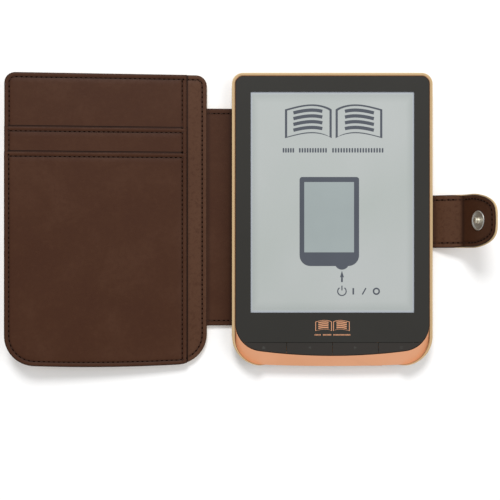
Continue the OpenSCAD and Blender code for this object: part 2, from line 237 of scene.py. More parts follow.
def leather(name, colours, worn_colour, tones, edge_paint_and_light, crease_colour, roughness, depth, gloss):
    """Leather for a piece with `flat` and `edge` attributes, and maybe shares of painted sheen and of painted
    shade in creases. It is mottled between three colours, given a painted sheen towards a fourth, toned by
    the distance to its edge with painted shade and light, coloured on the edge by edge paint that also
    carries painted light, and given painted shade in creases."""
    s = Shader(name, Specular_IOR_Level=gloss)
    at = s.place("flat")
    cloud = s.noise(at, 30, detail=5, roughness=0.6, distortion=0.5)
    colour = s.ramp(cloud, [(0.34, colours[0]), (0.5, colours[1]), (0.66, colours[2])])
    # Painted sheen: a lighter colour where the piece's sheen share is set.
    colour = s.mix(s.share("worn"), colour, worn_colour)
    fleck = s.noise(at, 2.6, detail=8, roughness=0.78)
    colour = s.mix(s.ramp(fleck, [(0.47, 0.0), (0.64, 0.65)]), colour, colours[0])
    colour = s.mix(s.ramp(fleck, [(0.34, 0.6), (0.47, 0.0)]), colour, colours[2])
    # Tones by the distance to the edge: painted shade and painted highlight, on tan together with a real
    # burnish by the seam.
    distance = s.maths("MULTIPLY", s.share("edge"), 1 / (EDGE_RANGE * MM))
    colour = s.mix(1.0, colour, s.ramp(distance, [(d / EDGE_RANGE, c) for d, c in tones]), "MULTIPLY")
    # Edge paint, which also stands in for light: a painted highlight on tan's rounded edges, a painted
    # crevice shadow at brown's cut edges.
    paint, reach = edge_paint_and_light
    reach = reach / EDGE_RANGE
    colour = s.mix(s.ramp(distance, [(0.0, 0.92), (0.55 * reach, 0.7), (reach, 0.0)]), colour, paint)
    # Painted shade in creases and grooves.
    colour = s.mix(s.share("crease"), colour, crease_colour)
    s.feed("Base Color", colour)
    s.feed("Roughness", s.ramp(fleck, [(0.3, roughness - 0.05), (0.7, roughness + 0.07)]))
    pores = s.bump(s.cells(at, 0.6), 0.05 * depth, 0.5)
    wrinkles = s.bump(s.noise(at, 1.4, detail=6, roughness=0.65), 0.12 * depth, 0.5, pores)
    s.feed("Normal", s.bump(cloud, 0.4 * depth, 0.3, wrinkles))
    return s.material


def thread(name, colour, dark):
    """Twisted thread: fibres a quarter of a millimetre long."""
    s = Shader(name, Roughness=0.6, Specular_IOR_Level=0.2)
    fibre = s.noise(s.place(), 0.25, detail=3, roughness=0.7)
    s.feed("Base Color", s.ramp(fibre, [(0.3, dark), (0.65, colour)]))
    s.feed("Normal", s.bump(fibre, 0.05, 0.6))
    return s.material


def painted(name, colour, roughness, speck_mm=0.3, depth=0.02, spread=0.06, **values):
    """A moulded or painted hard surface with a fine texture."""
    s = Shader(name, **values)
    at = s.place()
    speck = s.noise(at, speck_mm, detail=2, roughness=0.6)
    cloud = s.noise(at, 35, detail=3)
    light, dark = (tuple(c * (1 + k) for c in colour[:3]) + (1,) for k in (spread, -spread))
    s.feed("Base Color", s.ramp(cloud, [(0.35, dark), (0.65, light)]))
    s.feed("Roughness", s.ramp(speck, [(0.35, roughness - 0.04), (0.65, roughness + 0.05)]))
    s.feed("Normal", s.bump(speck, depth, 0.6))
    return s.material


def metal(name, colour, roughness):
    """Turned or stamped metal with fine scratches."""
    s = Shader(name, Metallic=1.0)
    scratch = s.noise(s.place(), 0.5, detail=6, roughness=0.8)
    s.feed("Base Color", s.ramp(scratch, [(0.3, tuple(c * 0.75 for c in colour[:3]) + (1,)), (0.7, colour)]))
    s.feed("Roughness", s.ramp(scratch, [(0.3, roughness), (0.75, roughness + 0.18)]))
    s.feed("Normal", s.bump(scratch, 0.012, 0.5))
    return s.material


def copper_material():
    """Copper paint, duller on the narrow lip round the bezel than on the broad chin below it."""
    s = Shader("copper_paint", Metallic=0.15)
    at = s.place()
    speck = s.noise(at, 0.3, detail=3, roughness=0.6)
    cloud = s.noise(at, 35, detail=3)
    colour = s.ramp(cloud, [(0.35, linear(219, 155, 114)), (0.65, linear(224, 161, 122))])
    parts = s.put("ShaderNodeSeparateXYZ", {0: at}).outputs
    side = s.maths("SUBTRACT", s.maths("ABSOLUTE", parts[0]), (READER_W / 2 - 1.0) * MM)
    head = s.maths("SUBTRACT", parts[1], (READER_H / 2 - 1.0) * MM)
    above_chin = s.maths("ADD", parts[1], (READER_H / 2 - 14) * MM)
    lip = s.maths("MULTIPLY", s.maths("MAXIMUM", side, head), 1 / (0.4 * MM))
    lip = s.maths("MINIMUM", lip, s.maths("MULTIPLY", above_chin, 1 / (8 * MM)))
    colour = s.mix(s.ramp(lip, [(0.0, 0.0), (0.9, 0.85)]), colour, linear(166, 118, 78))
    s.feed("Base Color", colour)
    s.feed("Roughness", s.ramp(speck, [(0.35, 0.36), (0.65, 0.45)]))
    s.feed("Normal", s.bump(speck, 0.02, 0.6))
    return s.material


def screen_material():
    """E-paper under its matt film: pale grey with a faint tooth, a little darker round the window and
    cool at its very edge, where the front light comes in."""
    s = Shader("screen_paper", Specular_IOR_Level=0.12)
    at = s.place()
    tooth = s.noise(at, 0.4, detail=4, roughness=0.7)
    cloud = s.noise(at, 60, detail=2)
    middle = s.ramp(cloud, [(0.3, linear(164, 170, 167)), (0.7, linear(172, 176, 175))])
    parts = s.put("ShaderNodeSeparateXYZ", {0: at}).outputs
    x = s.maths("DIVIDE", s.maths("ABSOLUTE", parts[0]), SCREEN_W / 2 * MM)
    y = s.maths("ABSOLUTE", s.maths("SUBTRACT", parts[1], SCREEN_Y * MM))
    rim = s.maths("MAXIMUM", x, s.maths("DIVIDE", y, SCREEN_H / 2 * MM))
    colour = s.mix(s.ramp(rim, [(0.9, 0.0), (0.97, 0.6), (0.99, 0.0)]), middle, linear(154, 160, 158))
    colour = s.mix(s.ramp(rim, [(0.975, 0.0), (0.995, 0.6)]), colour, linear(164, 170, 186))
    s.feed("Base Color", s.mix(s.ramp(tooth, [(0.3, 0.0), (0.7, 0.1)]), colour, linear(148, 155, 152)))
    s.feed("Roughness", s.ramp(tooth, [(0.3, 0.5), (0.7, 0.62)]))
    s.feed("Normal", s.bump(tooth, 0.01, 0.4))
    return s.material


TAN = (linear(157, 120, 67), linear(166, 130, 77), linear(177, 143, 92))
# Tan: darker by the seam, partly a real burnish and partly painted shade in its dip, then a painted highlight
# on the padded shoulder.
TAN_BURNISH_AND_SHADING = [(0, grey(1.0)), (2.3, grey(1.0)), (2.75, linear(230, 218, 200)), (3.5, linear(216, 200, 175)),
             (5.5, linear(236, 228, 214)), (9, grey(1.0)), (17, linear(246, 243, 238))]
BROWN = (linear(61, 35, 22), linear(64, 38, 24), linear(69, 43, 29))
# Brown: painted shade in the stitch groove.
BROWN_GROOVE_SHADING = [(0, grey(1.0)), (1.6, grey(1.0)), (2.75, linear(225, 215, 208)), (4, grey(1.0))]

# After the base colours: the painted sheen's colour, the tones, edge paint that is partly painted light (a
# highlight on tan's rounded edges, a crevice shadow at brown's cut edges) and the colour of painted shade in
# creases.
tan_leather = leather("tan_leather", TAN, linear(182, 148, 98), TAN_BURNISH_AND_SHADING, (linear(200, 174, 134), 2.5),
                      linear(120, 84, 44), 0.5, 1.0, 0.15)
brown_leather = leather("brown_leather", BROWN, linear(92, 64, 47), BROWN_GROOVE_SHADING, (linear(38, 20, 12), 0.65),
                        linear(34, 16, 8), 0.45, 0.8, 0.1)
LEATHERS = {"tan": tan_leather, "brown": brown_leather}
tan_thread = thread("tan_thread", linear(206, 173, 120), linear(172, 134, 82))
brown_thread = thread("brown_thread", linear(54, 32, 20), linear(34, 19, 12))
# Needle holes: their dark is painted shade in the holes.
tan_hole_shade = painted("tan_hole_shade", linear(74, 44, 20), 0.8, Specular_IOR_Level=0.1)
brown_hole_shade = painted("brown_hole_shade", linear(12, 6, 4), 0.8, Specular_IOR_Level=0.0)
# Dark brown for the real joint round the bezel and for the painted shadow beside the pocket lips.
joint_and_shadow_brown = painted("joint_and_shadow_brown", linear(30, 14, 7), 0.6, Specular_IOR_Level=0.1)
copper_paint = copper_material()
face_plastic = painted("face_plastic", linear(44, 43, 40), 0.52, spread=0.03, Specular_IOR_Level=0.14)
key_plastic = painted("key_plastic", linear(47, 44, 41), 0.5, spread=0.03, Specular_IOR_Level=0.14)
copper_ink = painted("copper_ink", linear(206, 146, 108), 0.45, spread=0.03, Metallic=0.15)
icon_grey = painted("icon_grey", linear(62, 61, 58), 0.5, Specular_IOR_Level=0.14)
steel = metal("steel", linear(196, 196, 192), 0.28)
stud_steel = metal("stud_steel", linear(206, 204, 198), 0.34)
pale_metal = metal("pale_metal", linear(240, 233, 214), 0.3)
screen_paper = screen_material()
screen_ink = painted("screen_ink", linear(76, 80, 88), 0.58, spread=0.05, Specular_IOR_Level=0.12)
screen_mid = painted("screen_mid", linear(146, 155, 155), 0.58, spread=0.03, Specular_IOR_Level=0.12)
circuit_green = painted("circuit_green", linear(40, 98, 58), 0.42, speck_mm=0.8)
chip_black = painted("chip_black", linear(36, 37, 39), 0.5)
cream_plastic = painted("cream_plastic", linear(226, 220, 206), 0.45)
ribbon_film = painted("ribbon_film", linear(190, 126, 48), 0.3)
pouch_foil = painted("pouch_foil", linear(176, 180, 184), 0.35, speck_mm=1.2, depth=0.05)
frame_alloy = painted("frame_alloy", linear(150, 152, 155), 0.42, Metallic=0.8)
clear_plastic = painted("clear_plastic", linear(224, 230, 230), 0.15)
card_board = painted("card_board", linear(164, 146, 118), 0.85, speck_mm=0.6, depth=0.05)


# ---- Outlines ----

def arc(cx, cy, r, start, end, count):
    """Points along an arc, in degrees, both ends included."""
    turns = [math.radians(start + (end - start) * i / count) for i in range(count + 1)]
    return [(cx + r * math.cos(t), cy + r * math.sin(t)) for t in turns]


def slab(width, top, bottom, r_top, r_low, sag_r):
    """A tall panel with round corners and a shallow arc below, anticlockwise from the bottom left."""
    cx = width / 2 - r_low
    middle = bottom + sag_r
    cy = middle - math.sqrt((sag_r - r_low) ** 2 - cx * cx)
    turn = math.degrees(math.asin(cx / (sag_r - r_low)))
    return (arc(0, middle, sag_r, -90 - turn, -90 + turn, 40)[1:-1]
            + arc(cx, cy, r_low, -90 + turn, 0, 24)
            + arc(width / 2 - r_top, top - r_top, r_top, 0, 90, 12)
            + arc(-width / 2 + r_top, top - r_top, r_top, 90, 180, 12)
            + arc(-cx, cy, r_low, 180, 270 - turn, 24))


def case_outline():
    return slab(CASE_W, CASE_TOP, CASE_BOTTOM, 6, 17, 900)


def reader_outline(grow):
    return slab(READER_W + 2 * grow, READER_H / 2 + grow, -READER_H / 2 - grow, 4.4 + grow, 15 + grow, 1000)


def bezel_outline(grow):
    return slab(READER_W - 1 + 2 * grow, BEZEL_TOP + grow, BEZEL_LOW - grow, 3.9 + grow, 15 + grow, 317)


def cradle_outline():
    return slab(2 * RIM_SIDE, corner("cradle_shell").y, corner("cradle_shell", False).y, 6, 16.4, 900)


def clipped(outline, axis, limit):
    """The part of an outline below `limit` along an axis, 0 for X and 1 for Y."""
    kept = []
    for i, q in enumerate(outline):
        p = outline[i - 1]
        if (p[axis] <= limit) != (q[axis] <= limit):
            t = (limit - p[axis]) / (q[axis] - p[axis])
            kept.append((p[0] + t * (q[0] - p[0]), p[1] + t * (q[1] - p[1])))
        if q[axis] <= limit:
            kept.append(q)
    return kept


def lengths(line):
    """The distance along a line of points to each of them."""
    return np.concatenate([[0], np.cumsum(np.linalg.norm(np.diff(line, axis=0), axis=1))])


def picked(line, places):
    """Points at the given distances along a line."""
    along = lengths(line)
    return np.stack([np.interp(places, along, line[:, k]) for k in range(line.shape[1])], axis=1)


def refined(outline, step):
    """A closed outline's own corners, with its long edges divided, as an array."""
    points = []
    for i, q in enumerate(outline):
        p = outline[i - 1]
        parts = max(1, math.ceil(math.dist(p, q) / step))
        points += [(p[0] + (q[0] - p[0]) * k / parts, p[1] + (q[1] - p[1]) * k / parts) for k in range(parts)]
    return np.array(points, float)


def inward(points):
    """How far each corner of an anticlockwise outline moves when its edges move inwards by one."""
    before, after = points - np.roll(points, 1, 0), np.roll(points, -1, 0) - points
    normals = []
    for edge in (before, after):
        edge = edge / np.maximum(np.linalg.norm(edge, axis=1, keepdims=True), 1e-9)
        normals.append(np.stack([-edge[:, 1], edge[:, 0]], axis=1))
    both = normals[0] + normals[1]
    return both / np.maximum((both * both).sum(1, keepdims=True) / 2, 0.2)


def edge_distance(places, outline):
    """Each place's distance to a closed outline."""
    a = np.asarray(outline, float)
    b = np.roll(a, -1, 0) - a
    length2 = np.maximum((b * b).sum(1), 1e-12)
    found = np.empty(len(places))
    for i, p in enumerate(np.asarray(places, float)):
        t = np.clip(((p - a) * b).sum(1) / length2, 0, 1)
        found[i] = np.sqrt((((a + b * t[:, None]) - p) ** 2).sum(1).min())
    return found


# ---- Meshes ----

def build(name, verts, faces, material, matrix=BACK, smooth_angle=40, **attributes):
    """A mesh object from points in millimetres. `flat` and `edge` are too; other attributes are shares."""
    mesh = bpy.data.meshes.new(name)
    mesh.from_pydata([matrix @ Vector(v) for v in verts], [], [list(f) for f in faces])
    mesh.validate()
    for key, data in attributes.items():
        kind, field = ("FLOAT_VECTOR", "vector") if key == "flat" else ("FLOAT", "value")
        scale = MM if key in ("flat", "edge") else 1
        values = (np.asarray(data, np.float32) * scale).ravel()
        mesh.attributes.new(key, kind, "POINT").data.foreach_set(field, values)
    mesh.materials.append(material)
    mesh.polygons.foreach_set("use_smooth", [True] * len(mesh.polygons))
    mesh.set_sharp_from_angle(angle=math.radians(smooth_angle))
    made = bpy.data.objects.new(name, mesh)
    bpy.context.scene.collection.objects.link(made)
    return made


def ring_faces(rings, size, caps=True):
    """Quads between consecutive closed rings of one size, and a cap at each end."""
    faces = []
    for r in range(rings - 1):
        for i in range(size):
            j = (i + 1) % size
            faces.append((r * size + i, r * size + j, (r + 1) * size + j, (r + 1) * size + i))
    if caps:
        faces.append(tuple(reversed(range(size))))
        faces.append(tuple((rings - 1) * size + i for i in range(size)))
    return faces


# Each fold's place, the way its child lies along X, and how far the leather is turned up there
FOLDS = {"spine_fold": (FOLD_A, -1, SPINE_LIFT / 2),
         "cover_fold": (FOLD_B, -1, (SPINE_LIFT + COVER_LIFT) / 2),
         "strap_root_fold": (FOLD_C, 1, STRAP_LIFT / 2),
         "strap_tip_fold": (FOLD_D, 1, (STRAP_LIFT + STRAP_RISE) / 2)}


def across_fold(piece, joint):
    """Bakes the placement of a piece that lies across a fold into its mesh; it does not bend it."""
    place, way, turn = FOLDS[joint]
    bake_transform(piece)


def finish_piece(piece, holder, slot, *nodes):
    """Rides a piece on a body, or across a fold only bakes its placement, and hides the nodes it stands for.
    Its slot is not used.
    """
    if holder in FOLDS:
        across_fold(piece, holder)
    else:
        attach(piece, holder)
    if nodes:
        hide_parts(*nodes)
    return piece


def lathe(name, profile, material, matrix, sides=72):
    """A turned piece; its profile is (radius, height) from the axis below to the axis above."""
    rings = [(r, z) for r, z in profile if r > 0]
    verts = [(r * math.cos(2 * math.pi * k / sides), r * math.sin(2 * math.pi * k / sides), z)
             for r, z in rings for k in range(sides)]
    faces = ring_faces(len(rings), sides, caps=False)
    for pole, first, turn in ((profile[0], 0, -1), (profile[-1], (len(rings) - 1) * sides, 1)):
        verts.append((0, 0, pole[1]))
        for k in range(sides):
            faces.append((first + k, first + (k + 1) % sides, len(verts) - 1)[::turn])
    return build(name, verts, faces, material, matrix, smooth_angle=50)


# ---- Panels ----

PANELS = {"case_back": BACK, "front_cover": COVER}

# Rings keep a panel's outline down to TRUE_DEPTH inside it, and from there turn into a rectangle CORE inside
CORE = 22
TRUE_DEPTH = 4.5
# A corner whose squared move is above this is a sharp one
SHARP = 1.3
# A panel's distance to its edge in the middle of its face
FAR_FROM_EDGE = CORE + 4


def spread(u):
    """Steps from 0 to 1 along a side, shorter near both corners."""
    return 0.6 * u + 0.2 * (1 - np.cos(np.pi * np.asarray(u, float)))


def four_sides(outline, across, along):
    """Points round an outline from its bottom left corner, with a fixed count on each of its sides."""
    line = refined(outline, 0.4)
    picks = [int(np.argmax(line @ np.array(way))) for way in ((-1, -1), (1, -1), (1, 1), (-1, 1))]
    points = []
    for k, steps in enumerate((across, along, across, along)):
        start, stop = picks[k], picks[(k + 1) % 4]
        side = line[start:stop + 1] if stop > start else np.vstack([line[start:], line[:stop + 1]])
        points.append(picked(side, spread(np.arange(steps) / steps) * lengths(side)[-1]))
    return np.vstack(points)


def core_grid(points, across, along):
    """The rectangle inside an outline: its points by (column, row), and its boundary's keys in order."""
    low, high = points.min(0) + CORE, points.max(0) - CORE
    us, vs = spread(np.arange(across + 1) / across), spread(np.arange(along + 1) / along)
    core = {(i, j): (low[0] + (high[0] - low[0]) * us[i], low[1] + (high[1] - low[1]) * vs[j])
            for i in range(across + 1) for j in range(along + 1)}
    order = ([(i, 0) for i in range(across)] + [(across, j) for j in range(along)]
             + [(across - i, along) for i in range(across)] + [(0, along - j) for j in range(along)])
    return core, order


def panel_moves(points, across, along):
    """How each of a panel's outline points moves inwards. The turn at a sharp corner is shared out
    along both of its sides, so that rings inside the outline don't fold over."""
    moves = inward(points)
    ends = np.cumsum([0, across, along, across, along])
    shared = moves.copy()
    for first, last in zip(ends, ends[1:]):
        own = moves[first + 1:last]
        ahead = np.stack([own[:, 1], -own[:, 0]], axis=1)
        share = spread(np.arange(1, last - first) / (last - first))[:, None]
        for end, nearest, weight in ((first, 0, 1 - share), (last % len(points), -1, share)):
            if (moves[end] ** 2).sum() > SHARP:
                shared[first + 1:last] += weight * ahead * (moves[end] @ ahead[nearest])
    return shared


def leather_panel(name, body, outline, section, side, *nodes, relief=0.0, worn=0.0):
    """A closed leather piece over an outline, on a body. section is its (inset, height) from the middle
    of its underside, round its edge and over its top as far as the core, which takes the last height."""
    across, along = 44, 64
    points = four_sides(outline, across, along)
    moves = panel_moves(points, across, along)
    core, order = core_grid(points, across, along)
    bound = np.array([core[k] for k in order])
    edge_row = min(range(len(section)), key=lambda k: section[k][0])
    verts, distance = [], []
    for row, (depth, height) in enumerate(section):
        ring = points + moves * min(depth, TRUE_DEPTH)
        if depth > TRUE_DEPTH:
            ring = ring + (bound - ring) * min((depth - TRUE_DEPTH) / (CORE - TRUE_DEPTH), 1)
        for x, y in ring:
            wave = relief * ripple(x, y) * min(depth / 8, 1) if row > edge_row else 0
            verts.append((x, y, height + wave))
        distance += [depth] * len(ring)
    size = len(points)
    top = len(section) - 1
    number = {place: top * size + k for k, place in enumerate(order)}
    for place, (x, y) in core.items():
        if place not in number:
            number[place] = len(verts)
            verts.append((x, y, section[-1][1] + relief * ripple(x, y)))
            distance.append(FAR_FROM_EDGE)
    faces = ring_faces(len(section), size, caps=False)
    faces.append(tuple(reversed(range(size))))
    for i in range(across):
        for j in range(along):
            faces.append(tuple(number[k] for k in ((i, j), (i + 1, j), (i + 1, j + 1), (i, j + 1))))
    # The sheen share is a painted sheen, the same over the whole piece.
    piece = build(name, verts, faces, LEATHERS[side], PANELS[body], flat=verts, edge=distance,
                  worn=[worn] * len(verts))
    return finish_piece(piece, body, side + "_leather", *nodes)


def ripple(x, y):
    """Leather's slow unevenness, from -1 to 1."""
    return (math.sin(0.061 * x + 0.083 * y + 1.3) + math.sin(0.113 * x - 0.047 * y + 0.4)
            + math.sin(-0.072 * x + 0.131 * y + 4.1)) / 3


def outer_section(inner, fill):
    """An outer leather: its border turned up to the seam between the leathers, and a face below with a
    stitch groove along its edge, which a filling pushes out towards its middle."""
    inside = [(12, inner), (1.15, inner), (1.1, SEAM_Z), (0.4, SEAM_Z)]
    edge = [(0.12, SEAM_Z - 0.12), (0.0, SEAM_Z - 0.4), (0.0, 1.2), (0.08, 0.85), (0.3, 0.6), (0.8, 0.46)]
    groove = [(1.5, 0.42), (2.1, 0.5), (2.5, 0.7), (2.75, 0.76), (3.05, 0.72), (3.5, 0.52), (4.2, 0.3)]
    face = [(5.4, 0.12), (7.5, -0.1), (11, -0.5), (16, -0.85), (CORE, -1.0)]
    return inside + edge + groove + [(d, z * fill if z < 0 else z) for d, z in face]


def inner_section(base, top):
    """An inner leather: a border down to the seam, a rounded edge and a groove for the stitches."""
    seam_side = [(12, base), (1.25, base), (1.15, SEAM_Z), (0.4, SEAM_Z)]
    edge = [(0.2, SEAM_Z + 0.12), (0.15, SEAM_Z + 0.35), (0.15, top - 0.35), (0.22, top - 0.15),
            (0.45, top - 0.03), (0.9, top), (1.8, top - 0.01)]
    groove = [(2.3, top - 0.12), (2.75, top - 0.2), (3.2, top - 0.12), (3.8, top - 0.02)]
    return seam_side + edge + groove + [(6, top), (CORE, top)]


def leaf_section(base, top):
    """A pocket leaf: a thin cut edge, a turned fold, a groove under its stitches and a flat middle."""
    fold_top = top + 0.16
    edge = [(12, base), (0.1, base), (0.1, base + 0.08), (0.4, base + 0.12), (0.52, base + 0.3)]
    fold_over = [(0.56, top), (0.7, fold_top - 0.03), (1.0, fold_top), (1.6, fold_top - 0.02), (2.2, top)]
    groove = [(2.55, top - 0.14), (2.75, top - 0.17), (3.0, top - 0.13), (3.6, top)]
    return edge + fold_over + groove + [(6, top), (CORE, top)]


def inner_height(x, y):
    """The height of the cover's inner face at a place on the panel."""
    if x > POCKET_X:
        return LINING_TOP
    if y > UPPER_LIP:
        return DOCUMENT_TOP
    return UPPER_TOP if y > LOWER_LIP else LOWER_TOP


def seam_height(x, y):
    """The height of the stitches in the cover's inner face, sunk into their groove."""
    return inner_height(x, y) - 0.13


# ---- Stitches ----

def walk(line, pitch, closed):
    """The middle, direction and pitch of each stitch along a line of 3-D points, a whole number of them."""
    line = np.asarray(line, float)
    if closed:
        line = np.vstack([line, line[:1]])
    length = lengths(line)[-1]
    count = max(1, round(length / pitch))
    step = length / count
    middles = (np.arange(count) + 0.5) * step
    at, ahead, behind = (picked(line, np.clip(middles + k, 0, length)) for k in (0, 0.3, -0.3))
    for place, direction in zip(at, ahead - behind):
        yield place, direction / max(np.linalg.norm(direction), 1e-9), step


def stitch_shape(length, width, height, sides=8, rings=9):
    """One stitch along X: two twisted plies that rise from the leather and dive back into it."""
    verts = []
    for r in range(rings):
        u = 2 * r / (rings - 1) - 1
        swell = math.sqrt(max(1 - abs(u) ** 2.6, 0.01))
        rise = height * (0.42 - 0.75 * abs(u) ** 3)
        for k in range(sides):
            a = 2 * math.pi * k / sides
            ply = 1 + 0.1 * math.cos(2 * (a - 2.4 * u))
            verts.append((u * length / 2, swell * ply * width / 2 * math.cos(a),
                          rise + swell * ply * height / 2 * math.sin(a)))
    return np.array(verts), ring_faces(rings, sides)


def hole_shape(radius, stretch, depth, sides=12):
    """A needle hole as painted shade: a low dark lens set into the leather, longer along the seam."""
    verts = [(0, 0, 0.05), (0, 0, -depth)]
    turns = [2 * math.pi * k / sides for k in range(sides)]
    verts += [(stretch * radius * math.cos(t), radius * math.sin(t), 0.01) for t in turns]
    faces = []
    for k in range(sides):
        a, b = 2 + k, 2 + (k + 1) % sides
        faces += [(0, a, b), (1, b, a)]
    return np.array(verts), faces


def laid(shape, places, up, slant):
    """Copies of a shape at each (middle, direction), turned by `slant` about the surface's normal."""
    base, base_faces = shape
    verts, faces = [], []
    for middle, ahead in places:
        normal = up(middle) if callable(up) else np.array(up, float)
        side = np.cross(normal, ahead)
        side /= max(np.linalg.norm(side), 1e-9)
        forward = math.cos(slant) * ahead + math.sin(slant) * side
        across = np.cross(normal, forward)
        start = len(verts)
        verts += list(middle + np.outer(base[:, 0], forward) + np.outer(base[:, 1], across)
                      + np.outer(base[:, 2], normal))
        faces += [tuple(start + i for i in f) for f in base_faces]
    return verts, faces


# Each side's thread and hole, the stitches' width, and the holes' radius and how much longer they are
SEWING = {"brown": (brown_thread, brown_hole_shade, 0.5, 0.42, 1.65),
          "tan": (tan_thread, tan_hole_shade, 0.62, 0.36, 1.0)}
SLANT = math.radians(6)
# A stitch is shorter than the pitch by this many hole radii
HOLE_SHARE = 1.3


def seam(name, holder, lines, side, up=(0, 0, 1), pitch=STITCH_PITCH):
    """Stitches and needle holes along lines of (points, closed), on one side of a body or a fold."""
    threads, hole, width, radius, stretch = SEWING[side]
    stitches, holes, step = [], [], pitch
    for points, closed in lines:
        for middle, ahead, step in walk(points, pitch, closed):
            stitches.append((middle, ahead))
            holes.append((middle + ahead * step / 2, ahead))
    shape = stitch_shape(step - HOLE_SHARE * radius * stretch, width, 0.4)
    for part, meshes, material in (("stitches", laid(shape, stitches, up, SLANT), threads),
                                   ("holes", laid(hole_shape(radius, stretch, 0.3), holes, up, 0.0), hole)):
        piece = build(f"{name}_{part}", *meshes, material, PANELS.get(holder, BACK))
        finish_piece(piece, holder, side + "_leather")


def inset(outline, step):
    """The seam's line inside an outline, flat, with a point at least every `step`."""
    points = refined(outline, step)
    return points + inward(points) * STITCH_INSET


def border(outline, height):
    """The line of the seam that follows an outline; height is a number or a function of (x, y)."""
    return [(x, y, height(x, y) if callable(height) else height) for x, y in inset(outline, 1.0)], True


def straight(start, end, height):
    """A straight seam line across a panel."""
    count = round(math.dist(start, end))
    line = [(start[0] + (end[0] - start[0]) * i / count, start[1] + (end[1] - start[1]) * i / count)
            for i in range(count + 1)]
    return [(x, y, height(x, y)) for x, y in line], False


# ---- Cover and back ----

def outer_seam(name, body):
    """The seam round a panel's outer face, sunk into its groove."""
    seam(name, body, [border(case_outline(), 0.69)], "tan", up=(0, 0, -1), pitch=2.5)


def make_cover():
    outline = case_outline()
    skin = leather_panel("cover_skin", "front_cover", outline, outer_section(1.55, 0.45), "tan",
                         "cover_leather", "cover_padding", relief=0.12)
    # The lining gets an even painted sheen.
    leather_panel("cover_inside", "front_cover", outline, inner_section(2.4, LINING_TOP), "brown",
                  "cover_lining", worn=0.45)
    pocket = clipped(outline, 0, POCKET_X)
    leaves = (("document", CASE_TOP + 1, LINING_TOP, DOCUMENT_TOP),
              ("upper_card", UPPER_LIP, DOCUMENT_TOP, UPPER_TOP),
              ("lower_card", LOWER_LIP, UPPER_TOP, LOWER_TOP))
    for name, lip, base, top in leaves:
        leather_panel(name + "_leaf", "front_cover", clipped(pocket, 1, lip), leaf_section(base, top),
                      "brown", name + "_pocket", relief=0.06)


def make_cover_seams():
    outline = case_outline()
    left, right = 1.2 - CASE_W / 2, POCKET_X - 1
    lip = POCKET_X - STITCH_INSET
    inside = [border(outline, seam_height),
              straight((lip, CASE_BOTTOM + 2), (lip, CASE_TOP - 1.2), seam_height)]
    for y in (UPPER_LIP - STITCH_INSET, LOWER_LIP - STITCH_INSET):
        inside.append(straight((left, y), (right, y), seam_height))
    seam("cover_inside", "front_cover", inside, "brown")
    outer_seam("cover_outside", "front_cover")


def make_back():
    outline = case_outline()
    leather_panel("back_skin", "case_back", outline, outer_section(1.0, 0.0), "tan", "back_leather")
    leather_panel("back_inside", "case_back", outline, inner_section(2.3, BACK_TOP), "brown", "back_lining")
    outer_seam("back_outside", "case_back")


# ---- Cradle ----

# The wall ends this far from the middle of the lower edge, and rises over this length
RIM_END = 33
RIM_FADE = 9
RIM_STEPS = 520
# A panel's tones, by the distance to its edge, with their painted shade, run this many times as fast down the
# wall's outer side
RIM_TONE = 2.2


def rim_line(outline):
    """The cradle's run round the reader, from one end of its opening to the other."""
    points = refined(outline, 0.5)
    keep = [abs(x) > RIM_END or y > 0 for x, y in points]
    start = next(k for k in range(len(points)) if keep[k] and not keep[k - 1])
    order = [(start + k) % len(points) for k in range(sum(keep))]
    line = points[order]
    return picked(line, np.linspace(0, lengths(line)[-1], RIM_STEPS))


def rim_section(wall, top):
    """A leather-wrapped wall with a round top, as (distance from the reader's side, height)."""
    r = min(0.6, wall * 0.45)
    turns = [math.pi / 8 * k for k in range(1, 4)]
    rise = [(r * (1 - math.cos(t)), top - r * (1 - math.sin(t))) for t in turns]
    fall = [(wall - u, z) for u, z in reversed(rise)]
    crown = [(r, top), (0.42 * wall, top), (0.5 * wall, top - 0.12), (0.58 * wall, top), (wall - r, top)]
    return ([(0, BACK_TOP), (0, top - r)] + rise + crown + fall
            + [(wall, top - r), (wall + 0.05, (top + BACK_TOP) / 2), (wall, BACK_TOP)])


def make_cradle():
    """The leather wall round the reader, which runs out along its lower edge, and the leather below."""
    inner, outer = rim_line(reader_outline(0.15)), rim_line(cradle_outline())
    verts, edge = [], []
    for p, q in zip(inner, outer):
        fade = 1.0 if p[1] > 5 - READER_H / 2 else min(max((abs(p[0]) - RIM_END) / RIM_FADE, 0.02), 1)
        top = SEAT_Z + (RIM_TOP - SEAT_Z) * fade * fade * (3 - 2 * fade)
        wall = np.linalg.norm(q - p)
        verts += [(*(p + (q - p) / wall * u), z) for u, z in rim_section(wall, top)]
        # Outside, the depth below the top sets the tones and their painted shade; on top and inside stays the
        # light edge colour with its painted highlight.
        edge += [max(top - z, 0) * RIM_TONE if u > wall / 2 else 0 for u, z in rim_section(wall, top)]
    size = len(verts) // len(inner)
    # Painted shade along the groove in the top of the wall.
    groove = [0.6 if k == size // 2 - 1 else 0.0 for k in range(size)] * len(inner)
    rim = build("cradle_rim", verts, ring_faces(len(inner), size), tan_leather, flat=verts, edge=edge,
                crease=groove)
    finish_piece(rim, "case_back", "tan_leather", "cradle_shell")
    section = [(12, BACK_TOP), (0.3, BACK_TOP), (0.05, BACK_TOP + 0.2), (0.05, SEAT_Z - 0.25), (0.3, SEAT_Z),
               (5, SEAT_Z), (CORE, SEAT_Z)]
    leather_panel("cradle_base", "case_back", cradle_outline(), section, "tan")


make_cover()
make_cover_seams()
make_back()
make_cradle()


# ---- Strips across the folds ----

